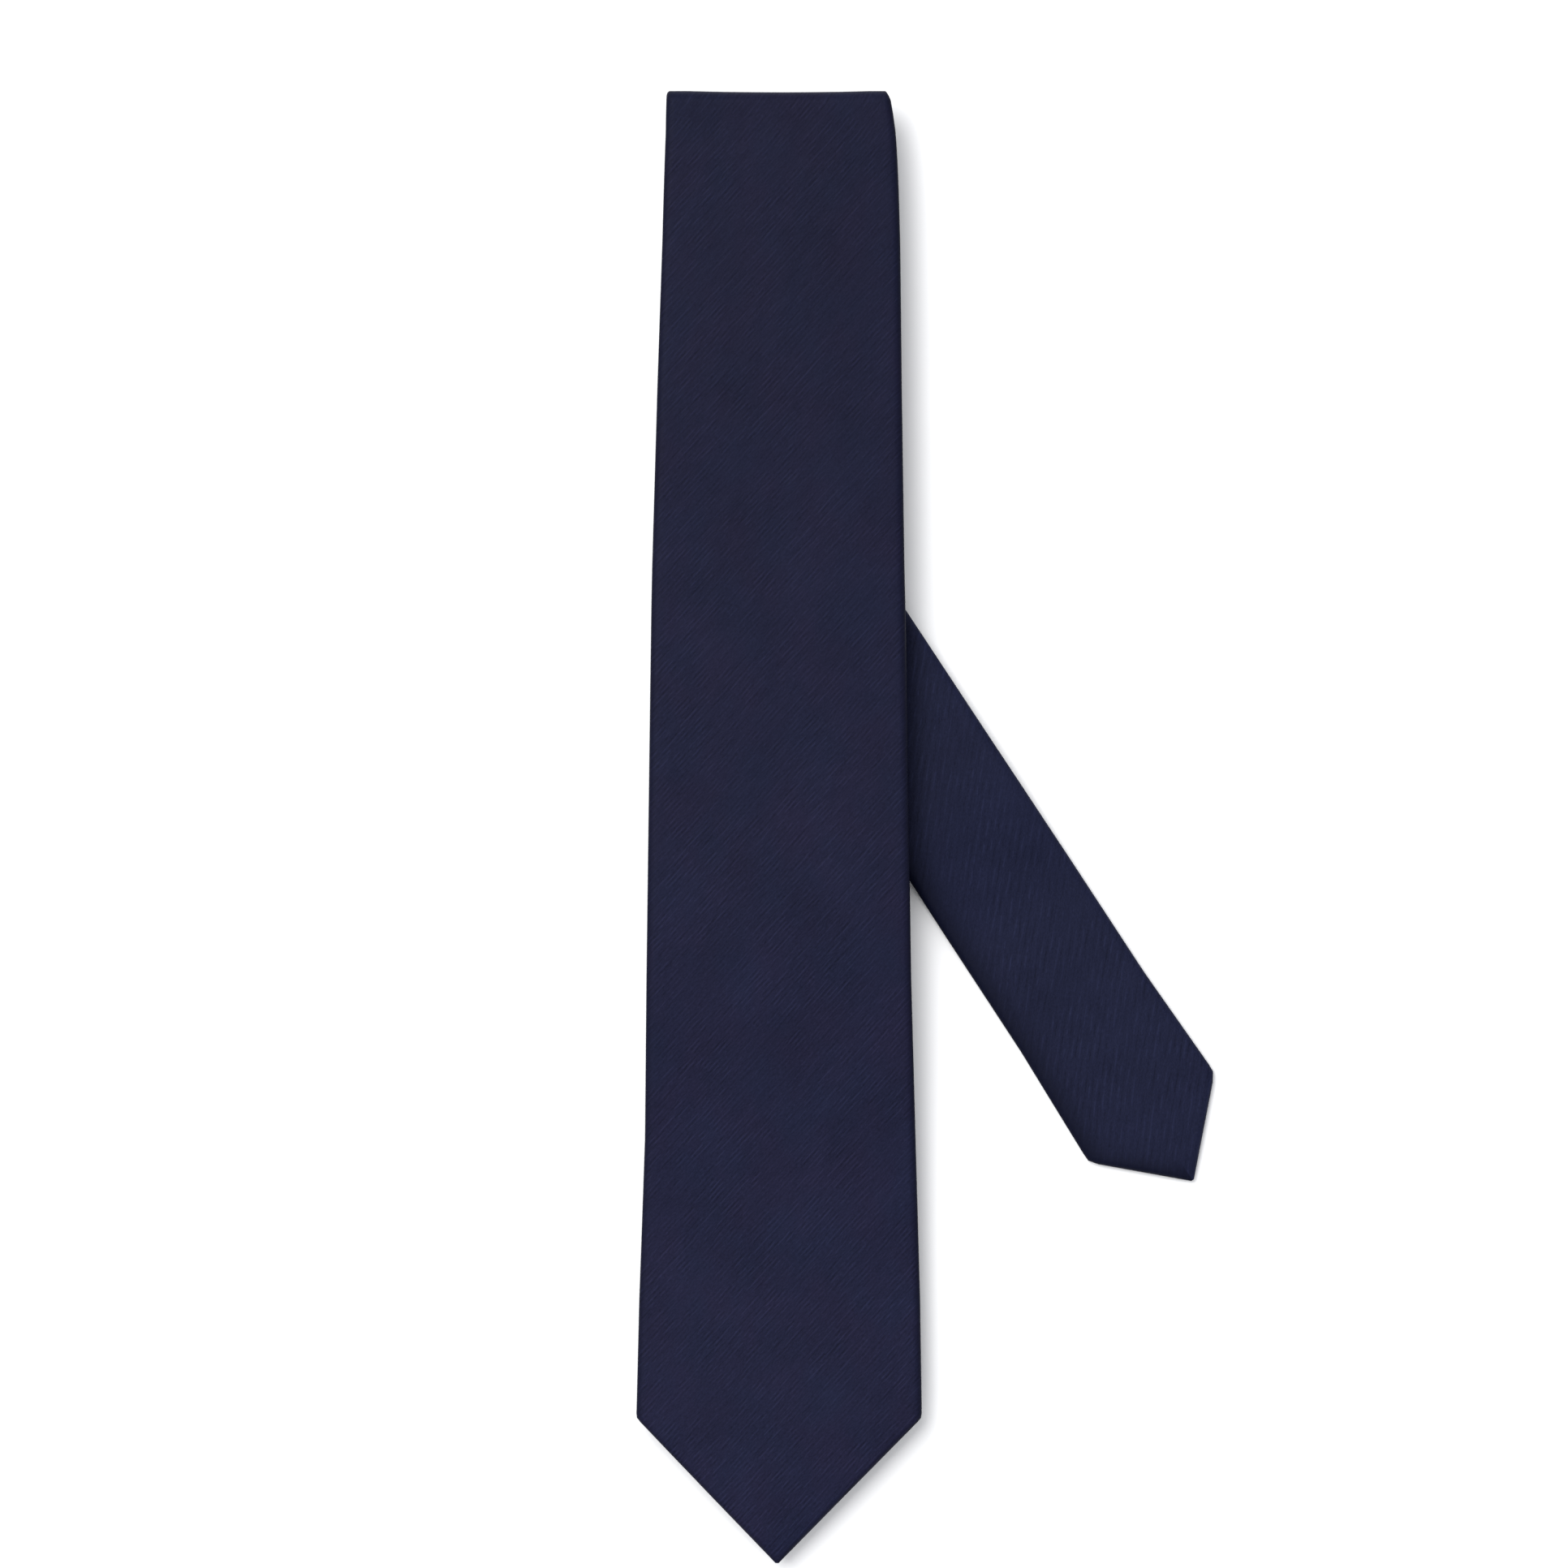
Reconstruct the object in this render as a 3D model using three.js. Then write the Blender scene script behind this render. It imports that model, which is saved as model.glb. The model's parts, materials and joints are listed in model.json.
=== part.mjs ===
// A necktie laid out flat and folded for display, in millimetres, +Z up.
//
// The tie is one long envelope of silk with an interlining inside. It lies front blade up,
// goes under itself at a top fold, comes back at a bottom fold, goes under again at a neck
// fold, and turns out to the right at a slanting fold, so that its tail shows face up.
// Each stretch between two folds is a layer, and each fold is a bend of the same envelope.
//
// A point of the envelope is given by u, its distance to the right of the centre line,
// h, its height through the layer from the back (0) to the face (LAYER), and a distance
// along the layer. Every layer and fold has a function that lays such a point in place.

import * as THREE from 'three';

// ---- Cloths and clearances ----
const SILK = 0.45;          // thickness of the shell cloth
const INTERLINING = 1.4;    // thickness of the napped interlining
const TIPPING = 0.3;        // thickness of the lining that backs each point
const EASE = 0.3;           // clearance between cloths that lie on each other
const LAYER = 2 * SILK + 2 * EASE + INTERLINING;
const SEAM_HALF = 0.6;      // half the gap between the two flaps at the back seam
const HEM = 11.3;           // depth of the turned hem along each slanting edge, across
const INNER_INSET = LAYER / 2 + EASE; // how far inner cloths stop short of the rounded edges

// ---- Trim on the back of the front blade, and the seam's thread ----
const KEEPER = { at: 216, width: 9, span: 48, foot: 6, cloth: 0.5, slack: 0.4 };
const LABEL = { at: 112, width: 46, height: 20, cloth: 0.4 };
const BACK_ROOM = 2 * EASE + KEEPER.slack + KEEPER.cloth; // space behind the front blade
const TACK = { half: 2.2, long: 1.2, thick: 0.4, below: 3 };
const THREAD_HALF = 0.25;
const THREAD_LOW = 0.05;    // the thread's underside, over the back of the layer
const SEAM_START = 6;       // where the seam starts, past the slanting fold

// ---- Where the tie is folded, measured up from the tip of the front blade ----
const TOP_FOLD = 414;
const BOTTOM_FOLD = 47;
const NECK_FOLD = TOP_FOLD - 6; // the neck fold lies a little inside the top fold
const FOLD_PINCH = 0.04;    // share of the width that a fold draws in at its crown

// ---- The tail's lie ----
const SLANT_Y = 294.63;     // where the slanting fold crosses the centre line, from the tip
const TAIL_LENGTH = 204.33; // from the slanting fold to the tail's tip, along the centre line
const TAIL_ANGLE = THREE.MathUtils.degToRad(33.2);

// ---- Points of the two ends ----
const BLADE_POINT = 41;     // tip to shoulders
const TAIL_POINT = 22;
const BLUNT = 2.4;          // half width of the blunt tip
const BLADE_TIPPING = 150;  // length of each tipping, from its tip
const TAIL_TIPPING = 75;
const TIPPING_START = 5;    // the inner cloths stop short of the tips
const INTERLINING_START = 6;

// ---- Full width at a distance from the front blade's tip, along the whole tie ----
const WIDTHS = [
  [41, 80.4], [74, 79.1], [120, 76.1], [166, 74.3], [269, 71.3], [349, 67.8], [394, 65.8],
  [414, 65], [780, 42], [1000, 36.5], [1275, 40], [1380, 41.5], [1420, 41.5], [1456, 43.8],
  [1500, 43.8],
];

// ---- How the lower half of the pile comes down to the surface beside the tail ----
const LOW_UNTIL = 70;
const HIGH_FROM = 200;

// ---- How the tail comes down to the surface, once its whole width is past the slanting fold ----
const TAIL_PAST_LINE = 4;   // how far past the fold's line it starts to come down
const TAIL_FALL = 46;       // length over which it comes down

// ---- Levels: the height of each layer's underside where the pile is full ----
const PITCH = LAYER + EASE;
const LEVEL = { under: 0, tail: PITCH, third: 2 * PITCH, second: 3 * PITCH };
LEVEL.front = LEVEL.second + LAYER + BACK_ROOM;
const DROP = LEVEL.third;   // how much lower the pile lies where nothing is under it

// ---- Fold axes ----
const foldAxis = (gap, lower) => ({ inner: gap / 2, z: lower + LAYER + gap / 2 });
const TOP = foldAxis(BACK_ROOM, LEVEL.second);
const BOTTOM = foldAxis(EASE, LEVEL.third - DROP);
const NECK = foldAxis(LEVEL.third - LEVEL.under - LAYER, LEVEL.under);
const SLANT = foldAxis(EASE, LEVEL.under);
TOP.y = TOP_FOLD - TOP.inner - LAYER;
BOTTOM.y = BOTTOM_FOLD + BOTTOM.inner + LAYER;
NECK.y = NECK_FOLD - NECK.inner - LAYER;
const bendLength = (axis) => Math.PI * (axis.inner + LAYER / 2);

// ---- The slanting fold: its line, and where the centre line enters and leaves it ----
const SLANT_ANGLE = TAIL_ANGLE / 2;
const along = new THREE.Vector2(Math.sin(SLANT_ANGLE), -Math.cos(SLANT_ANGLE));
const across = new THREE.Vector2(Math.cos(SLANT_ANGLE), Math.sin(SLANT_ANGLE));
const slide = bendLength(SLANT) / Math.tan(SLANT_ANGLE);
const enter = new THREE.Vector2(0, SLANT_Y);
const leave = enter.clone().addScaledVector(along, slide);

// ---- Distance along the tie at the start of each layer ----
const START = { front: 0 };
START.second = TOP.y + bendLength(TOP);
START.third = START.second + (TOP.y - BOTTOM.y) + bendLength(BOTTOM);
START.under = START.third + (NECK.y - BOTTOM.y) + bendLength(NECK);
START.tail = START.under + (NECK.y - enter.y) + bendLength(SLANT) / Math.sin(SLANT_ANGLE);
const TIE_LENGTH = START.tail + TAIL_LENGTH;

/** Half the tie's width at a distance from the front blade's tip. */
function halfWidth(distance) {
  const fromEnd = TIE_LENGTH - distance;
  const past = WIDTHS.findIndex(([at]) => at >= distance);
  const next = past < 0 ? WIDTHS.length - 1 : Math.max(past, 1);
  const [a, wide] = WIDTHS[next - 1];
  const [b, narrow] = WIDTHS[next];
  const body = THREE.MathUtils.mapLinear(Math.max(distance, a), a, b, wide, narrow) / 2;
  const point = (gone, length, full) => THREE.MathUtils.mapLinear(gone, 0, length, BLUNT, full);
  const blade = point(distance, BLADE_POINT, WIDTHS[0][1] / 2);
  const tail = point(fromEnd, TAIL_POINT, WIDTHS.at(-1)[1] / 2);
  return Math.min(body, blade, tail);
}

/** Half the opening between the back flaps: a seam, a V over each tipping, then a hem. */
function halfOpening(distance) {
  const fromEnd = TIE_LENGTH - distance;
  const blade = 2 * BLADE_POINT - distance;
  const tail = 2 * TAIL_POINT - fromEnd;
  const vee = Math.max(blade, tail);
  return Math.max(SEAM_HALF, Math.min(vee, halfWidth(distance) - HEM));
}

/** Where the slanting fold's line crosses the tail, with its clearance, along the tail. */
const tailStart = (u) => (u * across.x + EASE) / across.y;
const TAIL_HIGH_UNTIL = tailStart(halfWidth(START.tail)) + TAIL_PAST_LINE;
const TAIL_LOW_FROM = TAIL_HIGH_UNTIL + TAIL_FALL;

/** Height that the pile gains between the bare surface and the tail under it. */
const rise = (y) => DROP * THREE.MathUtils.smoothstep(y, LOW_UNTIL, HIGH_FROM);

/** Height of the tail's back over the surface: on the under layer, then down beside it. */
const tailHeight = (gone) =>
  LEVEL.tail * (1 - THREE.MathUtils.smoothstep(gone, TAIL_HIGH_UNTIL, TAIL_LOW_FROM));

// ---- Laying functions: (u, distance along the layer, h) to a place ----
const faceUp = (low) => (u, y, h) => new THREE.Vector3(u, y, low - DROP + rise(y) + h);
const faceDown = (low) => (u, y, h) => faceUp(low)(u, y, LAYER - h);
const layFront = faceUp(LEVEL.front);
const laySecond = faceDown(LEVEL.second);
const layThird = faceUp(LEVEL.third);
const layUnder = (u, y, h) => new THREE.Vector3(u, y, LEVEL.under + LAYER - h);

/** The tail is the strip beyond the slanting fold, turned over about the fold's line. */
function layTail(u, gone, h) {
  const flat = new THREE.Vector2(u, -gone);
  const place = along.clone().multiplyScalar(2 * flat.dot(along)).sub(flat).add(leave);
  return new THREE.Vector3(place.x, place.y, tailHeight(gone) + h);
}

/** A straight fold: a half turn about an axis across the tie, towards +Y or -Y. */
const layFold = (axis, towards, faceInside) => (u, turn, h) => {
  const radius = axis.inner + (faceInside ? LAYER - h : h);
  const y = axis.y + towards * radius * Math.sin(turn);
  const z = axis.z + radius * Math.cos(turn);
  return new THREE.Vector3(u * (1 - FOLD_PINCH * Math.sin(turn)), y, z);
};

/** The slanting fold: the strip winds half a turn along the fold's line as it goes over. */
function laySlant(u, turn, h) {
  const radius = SLANT.inner + h;
  const middle = SLANT.inner + LAYER / 2;
  const run = u / Math.sin(SLANT_ANGLE) + middle * turn / Math.tan(SLANT_ANGLE);
  const place = enter.clone().addScaledVector(along, run);
  place.addScaledVector(across, -radius * Math.sin(turn));
  return new THREE.Vector3(place.x, place.y, SLANT.z - radius * Math.cos(turn));
}

// ---- Cross-sections, as closed outlines of (u, h) ----
const ARC_STEPS = 4;

/** The envelope: a face, two rounded edges, and two back flaps with an opening between. */
function envelopeSection(width, opening) {
  const round = LAYER / 2;
  const arc = (radius, from, to) => Array.from({ length: ARC_STEPS + 1 }, (_, i) => {
    const angle = THREE.MathUtils.lerp(from, to, i / ARC_STEPS);
    return [width - round + radius * Math.cos(angle), round + radius * Math.sin(angle)];
  });
  const up = Math.PI / 2;
  const right = [
    ...arc(round, up, -up), [opening, 0], [opening, SILK], ...arc(round - SILK, -up, up),
  ];
  const left = right.map(([u, h]) => [-u, h]);
  return [...right.reverse(), ...left];
}

const flatSection = (width, low, high) =>
  [[-width, low], [width, low], [width, high], [-width, high]];

// ---- Meshes ----

const fill = (section) =>
  THREE.ShapeUtils.triangulateShape(section.map(([u, h]) => new THREE.Vector2(u, h)), []);

/** A closed body through rings of points, with a cap over each end's section. */
function loft(rings, firstSection, lastSection) {
  const count = firstSection.length;
  const positions = rings.flat().flatMap((p) => [p.x, p.y, p.z]);
  const last = (rings.length - 1) * count;
  const faces = fill(firstSection).map(([a, b, c]) => [c, b, a]);
  fill(lastSection).forEach(([a, b, c]) => faces.push([last + a, last + b, last + c]));
  for (let ring = 0; ring < rings.length - 1; ring += 1) {
    for (let i = 0; i < count; i += 1) {
      const a = ring * count + i;
      const b = ring * count + (i + 1) % count;
      faces.push([a, b, b + count], [a, b + count, a + count]);
    }
  }
  const corner = (i) => new THREE.Vector3().fromArray(positions, 3 * i);
  const volume = faces.reduce((sum, [a, b, c]) =>
    sum + corner(a).dot(corner(b).cross(corner(c))), 0);
  if (volume < 0) faces.forEach((face) => face.reverse());
  const geometry = new THREE.BufferGeometry();
  geometry.setAttribute('position', new THREE.Float32BufferAttribute(positions, 3));
  geometry.setIndex(faces.flat());
  return geometry;
}

const colours = {
  silk: { color: 0x25263c, roughness: 0.62, metalness: 0 },
  interlining: { color: 0xd9d3c4, roughness: 0.95, metalness: 0 },
  tipping: { color: 0x1c1d33, roughness: 0.4, metalness: 0 },
  thread: { color: 0x2b2d48, roughness: 0.55, metalness: 0 },
  label: { color: 0x14152a, roughness: 0.35, metalness: 0 },
};

const tie = new THREE.Group();

function addPiece(name, geometry, finish) {
  const mesh = new THREE.Mesh(geometry, new THREE.MeshStandardMaterial(colours[finish]));
  mesh.name = name;
  tie.add(mesh);
  return mesh;
}

/** A stretch of envelope or inner cloth, through stations {distance, at(u)}, laid in place. */
function addStretch(name, finish, lay, stations, sectionAt) {
  const rings = stations.map(({ distance, at }) =>
    sectionAt(distance).map(([u, h]) => lay(u, at(u), h)));
  const [first, last] = [stations[0], stations.at(-1)].map(({ distance }) => sectionAt(distance));
  addPiece(name, loft(rings, first, last), finish);
}

const shellAt = (distance) => envelopeSection(halfWidth(distance), halfOpening(distance));
const inTipping = (distance) =>
  distance < BLADE_TIPPING + HEM || TIE_LENGTH - distance < TAIL_TIPPING + HEM;
const interliningAt = (distance) => flatSection(
  halfWidth(distance) - INNER_INSET,
  SILK + EASE + (inTipping(distance) ? TIPPING + EASE : 0),
  LAYER - SILK - EASE);
const tippingAt = (distance) => flatSection(
  halfWidth(distance) - INNER_INSET, SILK + EASE, SILK + EASE + TIPPING);
const threadAt = () => flatSection(THREAD_HALF, THREAD_LOW, SILK);

// ---- The four straight layers ----
const straight = (y, distance) => ({ distance, at: () => y });
const CLIMB_STEPS = 10;
const pileHeights = Array.from({ length: CLIMB_STEPS + 1 },
  (_, i) => THREE.MathUtils.lerp(LOW_UNTIL, HIGH_FROM, i / CLIMB_STEPS));
const taperHeights = WIDTHS.map(([at]) => at).filter((at) => at > HIGH_FROM && at < TOP_FOLD);

/** Stations of a layer between two heights, with extra ones where the pile climbs. */
function stationsBetween(low, high, toDistance, extra = []) {
  const heights = [low, ...pileHeights, ...taperHeights, ...extra, high]
    .filter((y) => y >= low && y <= high);
  return [...new Set(heights)].sort((a, b) => a - b).map((y) => straight(y, toDistance(y)));
}

const bladePoint = [1, 1.25, 1.5, 2].map((share) => share * BLADE_POINT);
const frontStations = (from, to) => stationsBetween(from, to, (y) => y, bladePoint);
const topEnd = TOP.y - EASE;
const bottomEnd = BOTTOM.y + EASE;
const neckEnd = NECK.y - EASE;
const TIPPING_STEP = 0.5;   // over which the interlining thins where the tipping covers it

addStretch('shell_front_blade', 'silk', layFront, frontStations(0, topEnd), shellAt);
const thinEnd = BLADE_TIPPING + HEM;
const frontInterlining = [...frontStations(INTERLINING_START, topEnd),
  straight(thinEnd - TIPPING_STEP, thinEnd - TIPPING_STEP), straight(thinEnd, thinEnd)];
frontInterlining.sort((a, b) => a.distance - b.distance);
addStretch('interlining_front_blade', 'interlining', layFront, frontInterlining, interliningAt);
addStretch('tipping_front_blade', 'tipping', layFront,
  frontStations(TIPPING_START, BLADE_TIPPING), tippingAt);
addStretch('slip_stitch_front_blade', 'thread', layFront,
  frontStations(2 * BLADE_POINT, topEnd - EASE), threadAt);

const secondDistance = (y) => START.second + TOP.y - y;
const thirdDistance = (y) => START.third + y - BOTTOM.y;
for (const [name, lay, high, toDistance] of [
  ['second_layer', laySecond, topEnd, secondDistance],
  ['third_layer', layThird, neckEnd, thirdDistance],
]) {
  const stations = stationsBetween(bottomEnd, high, toDistance);
  addStretch(`shell_${name}`, 'silk', lay, stations, shellAt);
  addStretch(`interlining_${name}`, 'interlining', lay, stations, interliningAt);
  addStretch(`slip_stitch_${name}`, 'thread', lay,
    stationsBetween(bottomEnd + EASE, high - EASE, toDistance), threadAt);
}

// ---- The under layer, cut along the slanting fold at its lower end ----
const slantEnd = (u) => enter.y + (EASE - u * across.x) / across.y;
const creaseDistance = START.under + NECK.y - enter.y;
const slanted = (share, from) => ({
  distance: THREE.MathUtils.lerp(START.under, creaseDistance, share),
  at: (u) => THREE.MathUtils.lerp(from, slantEnd(u), share),
});
const underStations = [0, 0.35, 0.7, 1].map((share) => slanted(share, neckEnd));
addStretch('shell_under_layer', 'silk', layUnder, underStations, shellAt);
addStretch('interlining_under_layer', 'interlining', layUnder, underStations, interliningAt);
addStretch('slip_stitch_under_layer', 'thread', layUnder,
  [straight(neckEnd - EASE, START.under), straight(enter.y + SEAM_START, creaseDistance)], threadAt);

// ---- The tail, cut along the slanting fold at its upper end ----
const tailSlanted = (share) => ({
  distance: THREE.MathUtils.lerp(creaseDistance, START.tail + TAIL_HIGH_UNTIL, share),
  at: (u) => THREE.MathUtils.lerp(tailStart(u), TAIL_HIGH_UNTIL, share),
});
const tailSquare = (gone) => straight(gone, START.tail + gone);
const fallSteps = [0, 0.2, 0.35, 0.5, 0.65, 0.8, 1].map((share) =>
  THREE.MathUtils.lerp(TAIL_HIGH_UNTIL, TAIL_LOW_FROM, share));
const tailStations = (to, extra = []) => [
  ...[0, 0.35, 0.7].map(tailSlanted),
  ...[...fallSteps, TAIL_LENGTH - 3 * TAIL_POINT, ...extra, to]
    .sort((a, b) => a - b).map(tailSquare),
];
const tailPoint = [2, 1.75, 1.5, 1.25, 1, 0.3].map((share) => TAIL_LENGTH - share * TAIL_POINT);
const tailThin = TAIL_LENGTH - TAIL_TIPPING - HEM;
addStretch('shell_tail', 'silk', layTail, tailStations(TAIL_LENGTH, tailPoint), shellAt);
addStretch('interlining_tail', 'interlining', layTail,
  tailStations(TAIL_LENGTH - INTERLINING_START,
    [tailThin, tailThin + TIPPING_STEP, ...tailPoint.slice(0, 5)]),
  interliningAt);
addStretch('tipping_tail', 'tipping', layTail,
  [TAIL_LENGTH - TAIL_TIPPING, ...tailPoint.slice(0, 5), TAIL_LENGTH - TIPPING_START]
    .map(tailSquare), tippingAt);
addStretch('slip_stitch_tail', 'thread', layTail,
  [SEAM_START, ...fallSteps, TAIL_LENGTH - 2 * TAIL_POINT].map(tailSquare), threadAt);

// ---- The folds ----
const turns = Array.from({ length: 9 }, (_, i) => Math.PI * i / 8);
for (const [name, lay, distance] of [
  ['top_fold', layFold(TOP, 1, false), START.second],
  ['bottom_fold', layFold(BOTTOM, -1, true), START.third],
  ['neck_fold', layFold(NECK, 1, false), START.under],
  ['slanting_fold', laySlant, creaseDistance],
]) {
  const stations = turns.map((turn) => straight(turn, distance));
  addStretch(`shell_${name}`, 'silk', lay, stations, shellAt);
  addStretch(`interlining_${name}`, 'interlining', lay, stations, interliningAt);
}

// ---- Trim: bar tacks in the crotch of each V, the keeper loop and a plain label ----
for (const [name, lay, at, sign] of [
  ['bar_tack_front_blade', layFront, 2 * BLADE_POINT, -1],
  ['bar_tack_tail', layTail, TAIL_LENGTH - 2 * TAIL_POINT, 1],
]) {
  const near = at + sign * TACK.below;
  const stations = [near, near + sign * TACK.long].map((t) => straight(t, t));
  addStretch(name, 'thread', lay, stations, () => flatSection(TACK.half, 0, TACK.thick));
}

const backOfBlade = (y) => LEVEL.front - DROP + rise(y);
const arch = new THREE.Shape();
const reach = KEEPER.span / 2;
const shoulder = reach - KEEPER.foot;
arch.moveTo(-reach, -EASE);
for (const [x, z] of [
  [-shoulder, -EASE - KEEPER.slack], [shoulder, -EASE - KEEPER.slack], [reach, -EASE],
  [reach, -EASE - KEEPER.cloth], [shoulder, -EASE - KEEPER.slack - KEEPER.cloth],
  [-shoulder, -EASE - KEEPER.slack - KEEPER.cloth], [-reach, -EASE - KEEPER.cloth],
]) arch.lineTo(x, z);
const keeperBand = new THREE.ExtrudeGeometry(arch, { depth: KEEPER.width, bevelEnabled: false });
keeperBand.rotateX(Math.PI / 2);
const keeper = addPiece('keeper_loop', keeperBand, 'silk');
keeper.position.set(0, KEEPER.at + KEEPER.width / 2, backOfBlade(KEEPER.at));

addStretch('blank_label', 'label', layFront,
  frontStations(LABEL.at - LABEL.height / 2, LABEL.at + LABEL.height / 2),
  () => flatSection(LABEL.width / 2, -EASE - LABEL.cloth, -EASE));

// ---- Origin: the middle of the footprint, on the surface that the tie lies on ----
const box = new THREE.Box3().setFromObject(tie);
const middle = box.getCenter(new THREE.Vector3());
tie.position.set(-middle.x, -middle.y, 0);

export default tie;
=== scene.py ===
# %% [markdown]
# # A folded silk necktie
# A necktie is one long envelope of bias-cut silk. Its two edges are folded to the middle of the
# back and closed with a slip stitch, and a napped interlining inside gives it body. This tie lies
# front blade up, folded behind itself, with its tail turned out to the side.
#
# The plan is to work out the tie once as a flat strip, and to have one small function for each
# stretch that lays the flat strip in its place. Every cloth then fits every other one.

# %% The frame
import json

import bpy
import numpy as np
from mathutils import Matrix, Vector


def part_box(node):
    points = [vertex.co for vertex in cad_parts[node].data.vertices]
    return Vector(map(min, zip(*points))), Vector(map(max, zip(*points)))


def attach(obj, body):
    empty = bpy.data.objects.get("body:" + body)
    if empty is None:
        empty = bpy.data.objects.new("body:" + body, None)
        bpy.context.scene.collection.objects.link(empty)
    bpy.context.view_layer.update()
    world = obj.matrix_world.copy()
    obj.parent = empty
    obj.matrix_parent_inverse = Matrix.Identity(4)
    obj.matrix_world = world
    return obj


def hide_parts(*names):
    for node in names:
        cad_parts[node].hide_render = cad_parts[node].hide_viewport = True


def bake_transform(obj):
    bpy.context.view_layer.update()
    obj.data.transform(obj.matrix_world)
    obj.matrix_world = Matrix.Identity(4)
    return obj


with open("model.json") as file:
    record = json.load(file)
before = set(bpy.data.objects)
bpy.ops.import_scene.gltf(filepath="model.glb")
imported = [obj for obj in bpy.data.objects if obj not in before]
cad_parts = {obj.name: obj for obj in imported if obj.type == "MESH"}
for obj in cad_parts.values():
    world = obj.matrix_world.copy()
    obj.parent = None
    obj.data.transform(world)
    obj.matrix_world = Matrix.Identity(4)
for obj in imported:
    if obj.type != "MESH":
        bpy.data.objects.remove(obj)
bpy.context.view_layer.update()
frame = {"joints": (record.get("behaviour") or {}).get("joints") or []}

# %% [markdown]
# ## Measures
# The sizes that the frame holds are read from it: a fold's axis is its joint's, and the room
# inside a fold is what its height leaves between two layers. The rest are a tie maker's own
# sizes, in millimetres.

# %% Measures from the frame, in millimetres
MM = 0.001
joints = {joint["name"]: joint for joint in frame["joints"]}


def size_of(node):
    """The extents of a frame node, in millimetres."""
    low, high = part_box(node)
    return np.array(high - low) / MM


low_corner, high_corner = (np.array(corner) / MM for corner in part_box("shell_front_blade"))
CENTRE_X = (low_corner[0] + high_corner[0]) / 2
TIP_Y = low_corner[1]
ORIGIN = np.array([CENTRE_X, TIP_Y, 0.0])
LAYER = size_of("shell_under_layer")[2]


def fold_measures(name):
    """A fold's axis (y, z) from the blade's tip, and its inner radius."""
    y, z = np.array(joints[name]["pos_m"])[1:] / MM
    return y - TIP_Y, z, size_of(f"shell_{name}")[2] / 2 - LAYER


TOP, BOTTOM, NECK, SLANT = (
    fold_measures(name) for name in ("top_fold", "bottom_fold", "neck_fold", "slanting_fold")
)
DROP = size_of("shell_third_layer")[2] - LAYER
FRONT_LOW = TOP[1] + TOP[2] - DROP
SECOND_LOW = BOTTOM[1] + BOTTOM[2]
TAIL_LOW = SLANT[1] + SLANT[2]
print(f"layer {LAYER:.2f} mm, drop {DROP:.2f} mm, blade from tip to fold {TOP[0]:.1f} mm")

# %% The maker's own sizes, in millimetres
SILK = 0.45
TIPPING = 0.3
INTERLINING_LOW = 0.75
INTERLINING_HIGH = 2.15
EDGE_ROLL = 2.4
SEAM_HALF = 0.03
HEM = 11.3
INNER_INSET = 1.7
BLADE_POINT = 41.0
TAIL_POINT = 22.0
BLUNT = 0.5
BLADE_CORNER, TAIL_CORNER = 0.3, 0.5
TAIL_LENGTH = 204.33
CLIMB = (70.0, 200.0)
FOLD_DISH = 0.35
STRIP_AT = [41, 74, 120, 166, 269, 349, 394, 414, 780, 1000, 1275, 1380, 1420, 1456]
STRIP_WIDE = [80.4, 79.1, 76.1, 74.3, 71.3, 67.8, 65.8, 65, 42, 36.5, 40, 41.5, 41.5, 43.8]

# %% [markdown]
# ## The strip and where its folds fall
# Distance along the strip is measured from the front blade's tip, along the middle of the layer.
# A fold uses up half the circumference of a circle through the middle of the layer. The slanting
# fold lies at half the tail's angle, so the strip winds a little way along it as it goes over.

# %% Distances along the strip
along = np.array(joints["slanting_fold"]["axis"])[:2]
across = np.array([-along[1], along[0]])
SIN, COS = along[0], -along[1]


def bend_length(fold):
    """Half a turn at the middle of the layer's thickness."""
    return np.pi * (fold[2] + LAYER / 2)


START_SECOND = TOP[0] + bend_length(TOP)
START_THIRD = START_SECOND + TOP[0] - BOTTOM[0] + bend_length(BOTTOM)
START_UNDER = START_THIRD + NECK[0] - BOTTOM[0] + bend_length(NECK)
CREASE = START_UNDER + NECK[0] - SLANT[0]
START_TAIL = CREASE + bend_length(SLANT) / SIN
enter = np.array([0.0, SLANT[0]])
leave = enter + along * bend_length(SLANT) * COS / SIN
TIE_LENGTH = START_TAIL + TAIL_LENGTH
print(f"the whole tie is {TIE_LENGTH:.0f} mm long")


def smoothstep(x, low, high):
    """0 below low, 1 above high, and a smooth S between them."""
    t = np.clip((x - low) / (high - low), 0, 1)
    return t * t * (3 - 2 * t)


def soft_min(a, b, reach):
    """The smaller of two values, with the corner where they cross rounded off."""
    return np.minimum(a, b) - reach * np.log1p(np.exp(-np.abs(a - b) / reach))


def half_width(distance):
    """Half the strip's width: straight tapers between the maker's sizes, less the two points."""
    body = np.interp(distance, STRIP_AT, STRIP_WIDE) / 2
    blade = BLUNT + (STRIP_WIDE[0] / 2 - BLUNT) * distance / BLADE_POINT
    tail = BLUNT + (STRIP_WIDE[-1] / 2 - BLUNT) * (TIE_LENGTH - distance) / TAIL_POINT
    return soft_min(soft_min(body, blade, BLADE_CORNER), tail, TAIL_CORNER)


def half_opening(distance):
    """Half the gap between the back flaps: a seam, a V over each tipping, then the hem."""
    vee = np.maximum(2 * BLADE_POINT - distance, 2 * TAIL_POINT - (TIE_LENGTH - distance))
    return np.maximum(SEAM_HALF, np.minimum(vee, half_width(distance) - HEM))


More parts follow.
